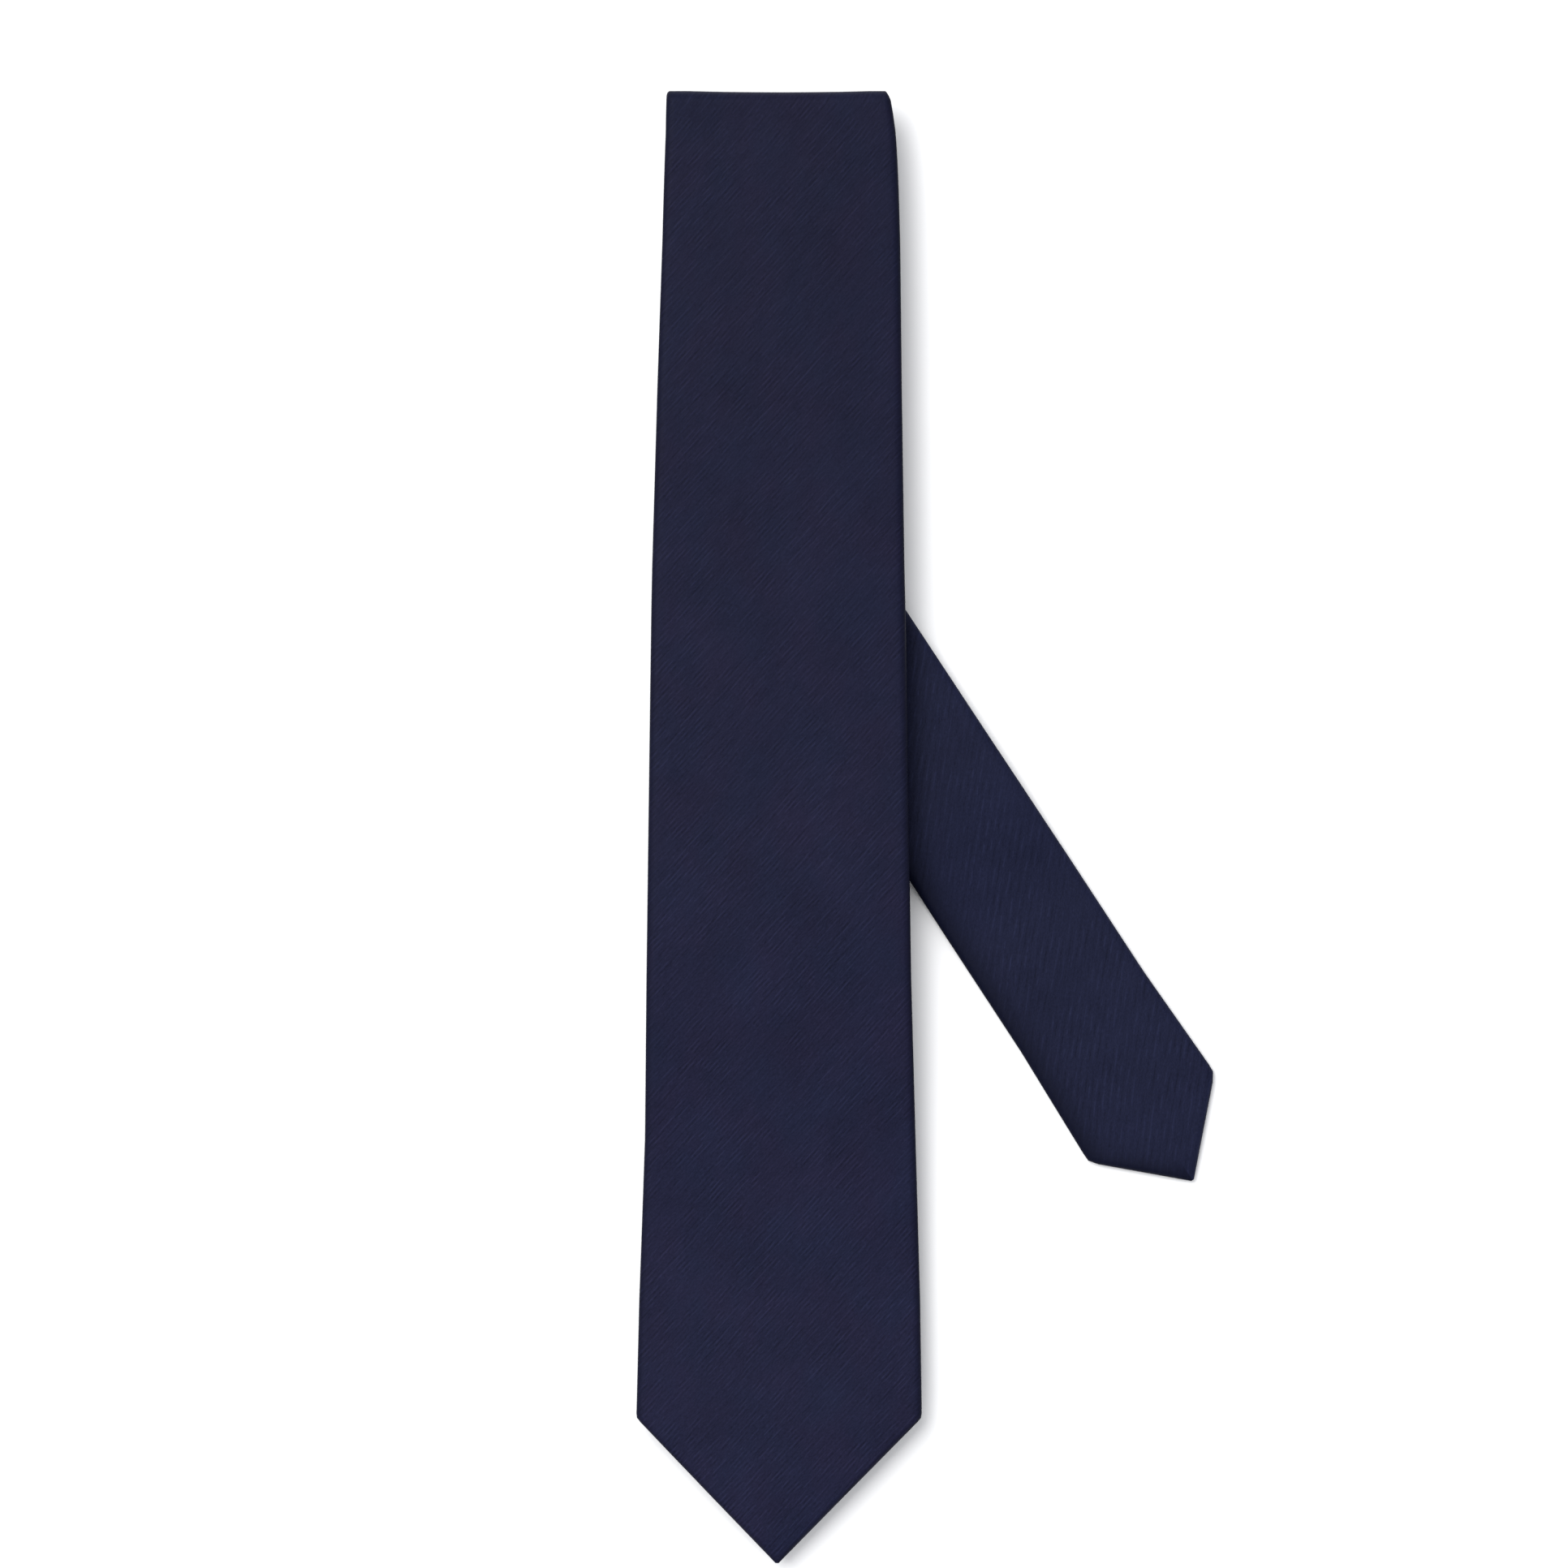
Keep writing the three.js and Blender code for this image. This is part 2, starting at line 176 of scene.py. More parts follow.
# %% [markdown]
# ## Laying the strip
# A point of the strip is (u, t, h): u to the right of the centre line, t along the stretch, and h
# up through the layer from its back to its face. The lower half of the pile sinks to the table
# beside the tail, and the tail sinks to the table beside the layer under it. The blade's point
# has nothing under it, so it droops a little. A face that shows is crowned, because the wool
# inside is thickest in the middle, and slow ripples keep it from looking machined.

# %% Laying functions
TIP_DROOP, DROOP_POWER = 1.4, 1.7
BLADE_CROWN, CROWN_FADE = 0.3, 25
LEFT_DRAW, RIGHT_DRAW = 0.5, 1.5
DRAW_HALF, DRAW_REACH = 32.0, 11.0
TAIL_HALF, TAIL_CROWN, TAIL_SHOWS = 22.0, 0.25, (60, 90)
TAIL_SKEW, SKEW_LONG = 1.8, 45
TAIL_RIPPLE = 500
TAIL_PAST_LINE = 4.0
TAIL_FALL_LONG = 46.0
DISH_HALF, FOLD_NARROW, CORNER_TUCK = 26, 0.03, 0.9
tail_clear = (half_width(START_TAIL) * COS + 0.3) / SIN + TAIL_PAST_LINE
TAIL_FALL = (tail_clear, tail_clear + TAIL_FALL_LONG)
SWAY_AT = [0, 20, 45, 90, 120, 165, 280, 330, 372, 402, 414]
SWAY = [-0.7, -0.5, -0.1, 0.1, 0.2, -0.2, -0.35, 0.0, 0.5, 0.55, 0.15]


def rise(y):
    """Height that the pile gains towards the tail that it lies on."""
    return DROP * smoothstep(y, *CLIMB)


def ripple(u, t):
    """Slow uneven waves of the pressed cloth: three sines of different lengths, under 0.2 mm."""
    long_wave = 0.09 * np.sin(t / 31.0 + u / 47.0)
    short_wave = 0.05 * np.sin(t / 13.7 - u / 19.0 + 1.3)
    return long_wave + short_wave + 0.04 * np.sin(t / 61.0 + u / 11.0 + 0.4)


def place(x, y, z):
    """Stacks three arrays into points of the frame, in metres."""
    return (np.stack(np.broadcast_arrays(x, y, z), axis=-1) + ORIGIN) * MM


def lay_front(u, t, h):
    """Face up, over the pile; the top of the layer is crowned, and its point droops."""
    wide = np.maximum(half_width(t), 1.0)
    face = smoothstep(h, LAYER / 2, LAYER)
    settled = smoothstep(TOP[0] - t, 0, CROWN_FADE)
    crown = (BLADE_CROWN * (1 - (u / wide) ** 2) + ripple(u, t)) * face * settled
    droop = TIP_DROOP * np.clip((BOTTOM[0] - t) / BOTTOM[0], 0, 1) ** DROOP_POWER
    return place(u + sideways(u, t), t, FRONT_LOW + rise(t) + h + crown - droop)


def sideways(u, t):
    """The blade's slow sway, less the draw of each edge towards the top fold."""
    near_fold = np.exp(-(TOP[0] - t) / DRAW_REACH)
    left = LEFT_DRAW * np.clip(-u / DRAW_HALF, 0, 1) ** 4
    right = RIGHT_DRAW * np.clip(u / DRAW_HALF, 0, 1) ** 4
    return np.interp(t, SWAY_AT, SWAY) + (left - right) * near_fold


def lay_second(u, t, h):
    """Face down, under the front blade."""
    return place(u + sideways(u, t), t, SECOND_LOW + rise(t) + LAYER - h)


def lay_third(u, t, h):
    """Face up, and down to the table at its lower end."""
    return place(u, t, rise(t) + h)


def lay_under(u, t, h):
    """Face down on the table."""
    return place(u, t, LAYER - h)


def lay_tail(u, t, h):
    """Turned over about the slanting fold's line: the part along it stays, the rest flips."""
    near_point = smoothstep(t, TAIL_LENGTH - SKEW_LONG, TAIL_LENGTH - TAIL_POINT)
    t = t + TAIL_SKEW * (np.clip(u / TAIL_HALF, 0, 1) * near_point)
    flat = u * along[0] - t * along[1]
    x = leave[0] + 2 * flat * along[0] - u
    y = leave[1] + 2 * flat * along[1] + t
    shows = smoothstep(t, *TAIL_SHOWS) * smoothstep(h, LAYER / 2, LAYER)
    crown = (TAIL_CROWN * (1 - (u / TAIL_HALF) ** 2) + ripple(u, t + TAIL_RIPPLE)) * shows
    return place(x, y, TAIL_LOW * (1 - smoothstep(t, *TAIL_FALL)) + h + crown)


def lay_fold(fold, towards, face_inside, drawn=False):
    """A laying function for a straight fold: t is the turn about the fold's axis.

    The fold that shows is drawn: it follows the blade's edges, and its right corner tucks in.
    """

    def lay(u, t, h):
        """y and z go round the axis at the cloth's own radius; the middle is dished a little."""
        radius = fold[2] + (LAYER - h if face_inside else h)
        crown = np.sin(t)
        dish = FOLD_DISH * crown * (1 - np.clip(np.abs(u) / DISH_HALF, 0, 1) ** 2)
        y = fold[0] + towards * (radius * crown - dish)
        tucked = crown**2 * (CORNER_TUCK * np.clip(u / DRAW_HALF, 0, 1) ** 4)
        x = u + sideways(u, TOP[0]) - tucked if drawn else u * (1 - FOLD_NARROW * crown)
        return place(x, y, fold[1] + radius * np.cos(t))

    return lay


def lay_slant(u, t, h):
    """The slanting fold: round its axis, and along it, as a strip winds round a rod."""
    radius = SLANT[2] + h
    run = u / SIN + (SLANT[2] + LAYER / 2) * t * COS / SIN
    x = enter[0] + along[0] * run - across[0] * radius * np.sin(t)
    y = enter[1] + along[1] * run - across[1] * radius * np.sin(t)
    return place(x, y, SLANT[1] - radius * np.cos(t))


# %% [markdown]
# ## The camera, the table and the light
# The tie is seen from straight above through a long lens, which keeps its edges straight. The
# table is a plain pale sheet. One large soft light from the upper left gives the soft shadows on
# the right, and an even pale surround fills them.

# %% Camera, table and lights
FRAME_WIDE = 442.8
FRAME_MIDDLE = (1.25, 219.4)
LENS = 150.0
SENSOR = 36.0

camera_data = bpy.data.cameras.new("camera")
camera_data.lens = LENS
camera_data.sensor_width = SENSOR
camera = bpy.data.objects.new("camera", camera_data)
camera.location = place(*FRAME_MIDDLE, FRAME_WIDE * LENS / SENSOR + LAYER)
bpy.context.scene.collection.objects.link(camera)
bpy.context.scene.camera = camera
bpy.context.scene.view_settings.view_transform = "Standard"

TABLE_HALF, TABLE_BELOW = 6.0, 0.0003
corners = ((-1, -1), (1, -1), (1, 1), (-1, 1))
table_mesh = bpy.data.meshes.new("table")
table_mesh.from_pydata(
    [(x * TABLE_HALF, y * TABLE_HALF, -TABLE_BELOW) for x, y in corners], [], [(0, 1, 2, 3)]
)
table = bpy.data.objects.new("table", table_mesh)
bpy.context.scene.collection.objects.link(table)


def soft_light(name, place_m, aim_m, size, power):
    """A square area light at place_m that faces aim_m."""
    light = bpy.data.lights.new(name, "AREA")
    light.size = size
    light.energy = power
    lamp = bpy.data.objects.new(name, light)
    lamp.location = place_m
    facing = np.array(aim_m) - np.array(place_m)
    lamp.rotation_euler = Vector(facing).to_track_quat("-Z", "Y").to_euler()
    bpy.context.scene.collection.objects.link(lamp)


KEY_AT, KEY_SIZE, KEY_POWER = (-1.2, 1.15, 2.9), 2.3, 104.0
soft_light("key", KEY_AT, (0, 0, 0), KEY_SIZE, KEY_POWER)

world = bpy.data.worlds.new("surround")
world.use_nodes = True
surround = world.node_tree.nodes["Background"]
surround.inputs["Color"].default_value = (0.96, 0.97, 1.0, 1)
surround.inputs["Strength"].default_value = 0.84
bpy.context.scene.world = world
print("camera at", [round(v, 3) for v in camera.location])

# %% [markdown]
# ## Writing shaders as sums
# A finish is easier to read as arithmetic than as a web of nodes. Wire wraps one socket, and each
# operator adds the Math node that does it. Finish holds one material and adds any other node.

# %% Wire and Finish


class Wire:
    """A shader socket that Python arithmetic works on."""

    def __init__(self, finish, socket):
        self.finish = finish
        self.socket = socket

    def math(self, operation, *values):
        """One Math node on this socket and the given values."""
        inputs = dict(enumerate([self, *values]))
        return self.finish.node("ShaderNodeMath", {"operation": operation}, inputs)

    def __add__(self, other):
        return self.math("ADD", other)

    def __mul__(self, other):
        return self.math("MULTIPLY", other)

    def __sub__(self, other):
        return self.math("SUBTRACT", other)

    def __rsub__(self, other):
        return self * -1.0 + other

    __radd__ = __add__
    __rmul__ = __mul__


class Finish:
    """One material, and the nodes that make it."""

    def __init__(self, name, roughness, **constants):
        self.material = bpy.data.materials.new(name)
        self.material.use_nodes = True
        self.tree = self.material.node_tree
        self.shader = self.tree.nodes["Principled BSDF"]
        self.plug(self.shader.inputs["Roughness"], roughness)
        for socket, value in constants.items():
            self.plug(self.shader.inputs[socket.replace("_", " ")], value)

    def plug(self, socket, value):
        """Links a Wire, or sets a plain value."""
        if isinstance(value, Wire):
            self.tree.links.new(value.socket, socket)
        else:
            socket.default_value = value

    def node(self, kind, settings=None, values=None, output=0):
        """Any node: its settings first, then its sockets by name or number."""
        made = self.tree.nodes.new(kind)
        for name, value in (settings or {}).items():
            setattr(made, name, value)
        for name, value in (values or {}).items():
            self.plug(made.inputs[name], value)
        return Wire(self, made.outputs[output])

    def strip(self):
        """The cloth's own (u, s) in millimetres, from its UV map."""
        uv = self.node("ShaderNodeTexCoord", output="UV")
        split = self.tree.nodes.new("ShaderNodeSeparateXYZ")
        self.plug(split.inputs[0], uv)
        return [Wire(self, split.outputs[i]) * (1 / MM) for i in (0, 1)]

    def noise(self, x, y, seed, detail=2.0):
        """Noise of (x, y), centred on 0: scale the two apart to draw it out into streaks."""
        spot = self.node("ShaderNodeCombineXYZ", values={0: x, 1: y, 2: float(seed)})
        values = {"Vector": spot, "Scale": 1.0, "Detail": detail, "Roughness": 0.55}
        return self.node("ShaderNodeTexNoise", values=values) - 0.5

    def step(self, value, low, high):
        """A smooth step from 0 at low to 1 at high."""
        values = {"Value": value, "From Min": low, "From Max": high}
        return self.node("ShaderNodeMapRange", {"interpolation_type": "SMOOTHSTEP"}, values)

    def mix(self, factor, first, second, blend="MIX"):
        """A mix of two colours by a factor."""
        settings = {"data_type": "RGBA", "blend_type": blend, "clamp_factor": True}
        return self.node("ShaderNodeMix", settings, {0: factor, 6: first, 7: second}, output=2)

    def colour(self, factor, dark, light, hue=None, tint=None):
        """Feeds Base Color with a mix of two colours, tinted where hue is 1."""
        shade = self.mix(factor, (*dark, 1), (*light, 1))
        if tint is not None:
            shade = self.mix(hue, shade, self.mix(1.0, shade, (*tint, 1), "MULTIPLY"))
        self.plug(self.shader.inputs["Base Color"], shade)

    def relief(self, height, strength, distance_mm):
        """A bump from a height."""
        values = {"Height": height, "Strength": strength, "Distance": distance_mm * MM}
        self.plug(self.shader.inputs["Normal"], self.node("ShaderNodeBump", values=values))


# %% [markdown]
# ## Navy slubbed silk
# The cloth is woven with fine cross ribs and uneven, slubby yarns. A tie is cut on the bias, so
# the ribs cross it at about 45 degrees. They are drawn in the strip's own measures: p runs across
# the ribs and q along them, and noise that is squeezed in p and drawn out in q gives yarns that
# swell and fade. Because the pattern follows the strip, it turns with the tail as the cloth does.
#
# The shell is three panels joined on the bias, and the tail's panel has a coarser rib. Each join
# is a fine dark line. Painted shade darkens the cloth along its edges.

# %% The silk
RIB_PITCH = 1.15
RIB_LEAN = np.radians(42)
JOIN_AT = (640.0, 1010.0)

silk = Finish("navy_slubbed_silk", 0.55, Specular_IOR_Level=0.06)
u_mm, s_mm = silk.strip()
p_mm = u_mm * np.cos(RIB_LEAN) - s_mm * np.sin(RIB_LEAN)
q_mm = u_mm * np.sin(RIB_LEAN) + s_mm * np.cos(RIB_LEAN)
past_join = s_mm - u_mm
tail_panel = silk.step(past_join, JOIN_AT[1] - 0.1, JOIN_AT[1] + 0.1)

slow_wander = silk.noise(p_mm * 0.07, q_mm * 0.04, 3) * 6.0
wander = slow_wander + silk.noise(p_mm * 0.4, q_mm * 0.25, 4) * 1.6
turns = p_mm * (2 * np.pi / RIB_PITCH)
fine_rib = (turns + wander).math("SINE")
coarse_rib = (turns * 0.55 + wander * 0.6).math("SINE")
rib = fine_rib * (1 - tail_panel) + coarse_rib * tail_panel
ridge = rib.math("MAXIMUM", 0.0).math("POWER", 3.0)
groove = (rib * -1.0).math("MAXIMUM", 0.0).math("POWER", 3.0)
dash = silk.step(silk.noise(p_mm * 0.9, q_mm * 0.19, 9), -0.05, 0.09)
zone = silk.step(silk.noise(p_mm * 0.06, q_mm * 0.035, 13), -0.2, 0.1) * 0.7 + 0.3
lines = (ridge - groove * 0.6) * dash * zone
slub = silk.noise(p_mm * 1.3, q_mm * 0.12, 7, 3.0)
fleck = silk.noise(p_mm * 2.4, q_mm * 1.1, 5)
speck = silk.step(silk.noise(p_mm * 1.9, q_mm * 1.2, 17), 0.1, 0.24)
yarns = lines * (0.62 - tail_panel * 0.14) + slub * 0.55 + fleck * 0.95 + speck * 0.35

join = silk.step((past_join - JOIN_AT[0]).math("ABSOLUTE"), 0.15, 0.5)
join = join * silk.step((past_join - JOIN_AT[1]).math("ABSOLUTE"), 0.15, 0.5)
# Painted shade: a mark on the mesh that darkens the silk along its edges, and in a wide band on the
# tail beside the blade
painted_edge_shade = silk.node("ShaderNodeAttribute", {"attribute_name": "painted_edge_shade"}, output="Fac")

mottle = silk.noise(u_mm * 0.045, s_mm * 0.045, 2)
# Painted light: the silk is brighter towards the blade's tip and darker towards the top fold; the
# tail's panel is also a lighter tone
tip_light_and_panel_tone = 1.2 - silk.step(s_mm, 0.0, 420.0) * 0.4 + tail_panel * 0.28
tone = (yarns * 0.5 + mottle * 0.25 + 0.38) * (join * 0.7 + 0.3) * (1 - painted_edge_shade * 0.78) * tip_light_and_panel_tone
hue = silk.step(silk.noise(u_mm * 0.07, s_mm * 0.05, 21) + tail_panel * 0.5, -0.25, 0.25)
silk.colour(tone, (0.0016, 0.0018, 0.0080), (0.0185, 0.0176, 0.0485), hue, (0.84, 1.06, 1.04))
silk.relief(yarns * 0.8 + join * 2.0, 0.35, 0.12)
silk.plug(silk.shader.inputs["Roughness"], slub * -0.2 + 0.55)

# %% [markdown]
# ## The hidden cloths and the thread
# The interlining is pale napped wool, seen only if the envelope is opened. The tipping is a
# smooth lining with a faint twill. The thread is two plies twisted together, drawn as slanting
# bands on its own map. The label is a plain satin with a woven border.

# %% Wool, lining, thread and label
wool = Finish("napped_wool", 0.95, Specular_IOR_Level=0.1)
u_mm, s_mm = wool.strip()
nap = wool.noise(u_mm * 1.2, s_mm * 0.35, 4, 4.0) + wool.noise(u_mm * 0.4, s_mm * 1.3, 8, 3.0)
wool.colour(nap * 0.9 + 0.5, (0.50, 0.46, 0.37), (0.80, 0.77, 0.68))
wool.relief(nap, 0.5, 0.3)

lining = Finish("navy_lining", 0.5, Specular_IOR_Level=0.12)
u_mm, s_mm = lining.strip()
twill = ((u_mm + s_mm) * (2 * np.pi / 0.9)).math("SINE")
weave = twill * 0.35 + lining.noise(u_mm * 1.4, s_mm * 1.4, 6) * 0.8
lining.colour(weave * 0.5 + 0.5, (0.010, 0.011, 0.030), (0.020, 0.021, 0.050))
lining.relief(weave, 0.25, 0.05)

thread = Finish("navy_thread", 0.5, Specular_IOR_Level=0.35)
u_mm, s_mm = thread.strip()
ply = ((u_mm * 3.2 + s_mm) * (2 * np.pi / 0.8)).math("SINE")
thread.colour(ply * 0.5 + 0.5, (0.016, 0.018, 0.048), (0.050, 0.055, 0.120))
thread.relief(ply, 0.6, 0.06)

satin = Finish("label_satin", 0.42, Specular_IOR_Level=0.18)
u_mm, s_mm = satin.strip()
LABEL_HALF = (23.0, 10.0)
BORDER = 1.8
edge_near = (u_mm.math("ABSOLUTE") - (LABEL_HALF[0] - BORDER)).math("ABSOLUTE")
end_near = (s_mm.math("ABSOLUTE") - (LABEL_HALF[1] - BORDER)).math("ABSOLUTE")
border = 1 - satin.step(edge_near.math("MINIMUM", end_near), 0.1, 0.3)
floats = satin.noise(u_mm * 0.5, s_mm * 4.0, 12, 3.0)
satin.colour(border * 0.75 + floats * 0.5 + 0.15, (0.008, 0.009, 0.024), (0.075, 0.080, 0.150))
satin.relief(floats, 0.3, 0.05)

# %% [markdown]
# ## From arrays to meshes
# Every cloth here is a grid of points: one row per step along the strip, one column per step
# across it. A shell cloth has an outer and an inner grid that share their rims, so it is one
# closed skin of real thickness. Slabs and threads are rows of closed loops with an end cap.

# %% Mesh builders
RIM_ANGLE = np.radians(55)


def new_piece(name, points, faces, face_uv, finish):
    """A smooth object at the origin, with a UV for each corner and crisp rims."""
    mesh = bpy.data.meshes.new(name)
    mesh.from_pydata(points, [], faces)
    mesh.polygons.foreach_set("use_smooth", np.full(len(faces), True))
    layer = mesh.uv_layers.new(name="strip")
    layer.data.foreach_set("uv", np.ascontiguousarray(face_uv, np.float32).ravel())
    mesh.materials.append(finish.material)
    mesh.validate()
    mesh.set_sharp_from_angle(angle=RIM_ANGLE)
    piece = bpy.data.objects.new(name, mesh)
    bpy.context.scene.collection.objects.link(piece)
    return piece


def outward(points, faces):
    """The faces, turned round if the closed body that they bound has a negative volume."""
    fan = np.array([(f[0], f[k], f[k + 1]) for f in faces for k in range(1, len(f) - 1)])
    a, b, c = (points[fan[:, k]] for k in range(3))
    volume = np.einsum("ij,ij->i", a - points[0], np.cross(b - a, c - a)).sum()
    return faces if volume > 0 else [face[::-1] for face in faces]


def grid_quads(rows, columns, start=0, wrap=False):
    """Quads of a grid that is numbered row by row; wrap joins the last column to the first."""
    index = start + np.arange(rows * columns).reshape(rows, columns)
    if wrap:
        index = np.concatenate([index, index[:, :1]], axis=1)
    corners = (index[:-1, :-1], index[:-1, 1:], index[1:, 1:], index[1:, :-1])
    return np.stack(corners, axis=-1).reshape(-1, 4)


def shell_mesh(name, outer, inner, uv, finish):
    """A cloth between two grids, closed by quads along all four rims."""
    rows, columns = outer.shape[:2]
    points = np.concatenate([outer.reshape(-1, 3), inner.reshape(-1, 3)])
    half = rows * columns
    index = np.arange(half).reshape(rows, columns)
    rim = np.concatenate([index[0, :], index[1:, -1], index[-1, -2::-1], index[-2:0:-1, 0]])
    following = np.roll(rim, -1)
    walls = np.stack([rim, rim + half, following + half, following], axis=-1)
    back = grid_quads(rows, columns, half)[:, ::-1]
    quads = np.concatenate([grid_quads(rows, columns), back, walls])
    faces = outward(points, quads.tolist())
    flat_uv = np.concatenate([uv.reshape(-1, 2)] * 2)
    return new_piece(name, points, faces, flat_uv[np.array(faces)], finish)


def slab_mesh(name, loops, uv, finish):
    """A solid through rows of closed loops, with a cap at each end."""
    rows, columns = loops.shape[:2]
    points = loops.reshape(-1, 3)
    last = (rows - 1) * columns
    caps = [list(range(columns))[::-1], list(range(last, last + columns))]
    faces = grid_quads(rows, columns, wrap=True).tolist() + caps
    faces = outward(points, faces)
    corner = np.concatenate([np.array(face) for face in faces])
    return new_piece(name, points, faces, uv.reshape(-1, 2)[corner], finish)


# %% [markdown]
# ## The envelope's cross-section
# Across the tie the silk runs from one back flap, round a soft rolled edge, over the face, round
# the other edge and back to the seam. The edge is half an ellipse, wider than it is high, because
# a good tie is never pressed flat, but it is crisp over the top fold. The flaps' ends turn in a
# little, which leaves the groove that the slip stitch lies in.

# %% The envelope
FACE_STEPS, EDGE_STEPS, FLAP_STEPS = 22, 14, 12
ROLL_SHARE, LEAST_REACH = 0.55, 0.05
FLAP_CROWD, FLAP_TURN, TURN_REACH = 0.6, 0.28, 0.8
# Painted shade: how far in from its edges the silk is darkened, the left edge less, and how wide
# the tail's painted shadow beside the blade is
EDGE_SHADE_REACH, LEFT_EDGE_SHADE, TAIL_SHADE_REACH = 1.4, 0.8, 5.0
FOLD_CRISP = 0.6
POINT_NOSE = 3.0
POINT_PLUMP = 0.22


def envelope(distance, crisp):
    """The middle of the cloth and its outward normal across the tie, one row per distance.

    The right half is a straight face, half an ellipse and a straight flap; the left mirrors it.
    """
    wide = half_width(distance)[:, None]
    gap = half_opening(distance)[:, None]
    roll = np.minimum(EDGE_ROLL * (1 - crisp[:, None]), ROLL_SHARE * wide)
    middle = wide - roll
    reach = np.maximum(roll - SILK / 2, LEAST_REACH)
    from_end = np.minimum(distance, TIE_LENGTH - distance)[:, None]
    plump = 1 - (1 - POINT_PLUMP) * np.exp(-((from_end / POINT_NOSE) ** 2))
    half_high = plump * (LAYER - SILK) / 2
    face = np.linspace(0, 1, FACE_STEPS, endpoint=False)[None]
    turn = np.pi * (0.5 - np.linspace(0, 1, EDGE_STEPS, endpoint=False)[None])
    flap = np.linspace(0, 1, FLAP_STEPS)[None] ** FLAP_CROWD
    flap_u = middle + (np.minimum(gap, middle) - middle) * flap
    tuck = FLAP_TURN * plump * np.exp(-(((flap_u - gap) / TURN_REACH) ** 2))
    zero = 0 * wide
    u = np.concatenate([middle * face, middle + reach * np.cos(turn), flap_u], axis=1)
    h = np.concatenate(
        [
            LAYER / 2 + half_high + 0 * face,
            LAYER / 2 + half_high * np.sin(turn),
            LAYER / 2 - half_high + tuck,
        ],
        axis=1,
    )
    normal_u = np.concatenate([zero * face, half_high * np.cos(turn) + zero, 0 * flap_u], axis=1)
    normal_h = np.concatenate([zero * face + 1, reach * np.sin(turn), 0 * flap_u - 1], axis=1)
    size = np.hypot(normal_u, normal_h)
    right = [u, h, normal_u / size, normal_h / size]
    left = [-u[:, :0:-1], h[:, :0:-1], -right[2][:, :0:-1], right[3][:, :0:-1]]
    return [np.concatenate(pair, axis=1) for pair in zip(left, right)]


def developed(u, h):
    """Distance across the cloth from the middle of its face, measured along the cloth."""
    step = np.hypot(np.diff(u, axis=1), np.diff(h, axis=1))
    run = np.concatenate([0 * u[:, :1], np.cumsum(step, axis=1)], axis=1)
    return run - run[:, u.shape[1] // 2][:, None]


def lay_shell(name, stretch):
    """The shell of one stretch, the width it was cut to, and its mean width."""
    turned = np.sin(stretch.base) if name == "top_fold" else 0 * stretch.base
    u, h, normal_u, normal_h = envelope(stretch.distance(), FOLD_CRISP * turned)
    t = stretch.rows(u)
    edge = half_width(stretch.distance())[:, None]
    # Painted shade along both edges, stronger on the right; the shader darkens the silk by it
    painted_edge_shade = np.exp(-((edge - np.abs(u)) / EDGE_SHADE_REACH) ** 2) * np.where(u > 0, 1.0, LEFT_EDGE_SHADE)
    # On the tail, painted shadow: a wide dark band on its side next to the blade, where the blade's
    # shadow falls
    if stretch.lay is lay_tail:
        painted_edge_shade = np.exp(-((edge - np.abs(u)) / TAIL_SHADE_REACH) ** 2) * (u > 0)
    outer = stretch.lay(u + normal_u * SILK / 2, t, h + normal_h * SILK / 2)
    inner = stretch.lay(u - normal_u * SILK / 2, t, h - normal_h * SILK / 2)
    cloth = developed(u, h)
    uv = np.stack([cloth, stretch.strip(u, t)], axis=-1) * MM
    piece = shell_mesh(f"silk_{name}", outer, inner, uv, silk)
    mark = piece.data.attributes.new("painted_edge_shade", "FLOAT", "POINT")
    mark.data.foreach_set("value", np.tile(painted_edge_shade.ravel(), 2))
    return piece, 2 * np.abs(cloth).max(), 2 * np.abs(cloth[:, -1]).mean()


# %% [markdown]
# ## Stretches and folds
# Each stretch is listed once: its laying function, its rows, and the strip distance that they
# stand for. The shell, the interlining and the seam all come from the same list. Rows run
# square across the tie, except beside the slanting fold, where they lean over to meet it.

# %% The list of stretches
ROW_STEP = 2.5
FOLD_STEPS = 24
LEAN_STEPS = 24
SEAM_ROW = 0.03


class Stretch:
    """Rows at t = base + lean u, and the strip distance start + rate t + slant u."""

    def __init__(self, lay, base, start, rate, lean=None, slant=0.0):
        self.lay = lay
        self.base = base
        self.lean = 0 * base if lean is None else lean
        self.start, self.rate, self.slant = start, rate, slant

    def rows(self, u):
        """t of each point: one row per base, at the given distances across."""
        return self.base[:, None] + self.lean[:, None] * u

    def strip(self, u, t):
        """Strip distance of each point."""
        return self.start + self.rate * t + self.slant * u

    def distance(self):
        """Strip distance of each row at the middle of the tie."""
        return self.start + self.rate * self.base

    def between(self, low, high):
        """The same stretch, with only the rows that lie from low to high."""
        kept = (self.base > low) & (self.base < high)
        base = np.concatenate([[low], self.base[kept], [high]])
        return Stretch(self.lay, base, self.start, self.rate, slant=self.slant)


def even(low, high, extra=()):
    """Steps of about ROW_STEP from low to high, with the extra values put in order."""
    count = int(np.ceil((high - low) / ROW_STEP)) + 1
    return np.unique(np.concatenate([np.linspace(low, high, count), extra]))


def lean_over(square, slanted, slope):
    """Rows from a square one to one at t = slanted + slope u: bases and leans."""
    share = np.linspace(0, 1, LEAN_STEPS)
    return square + (slanted - square) * share, slope * share


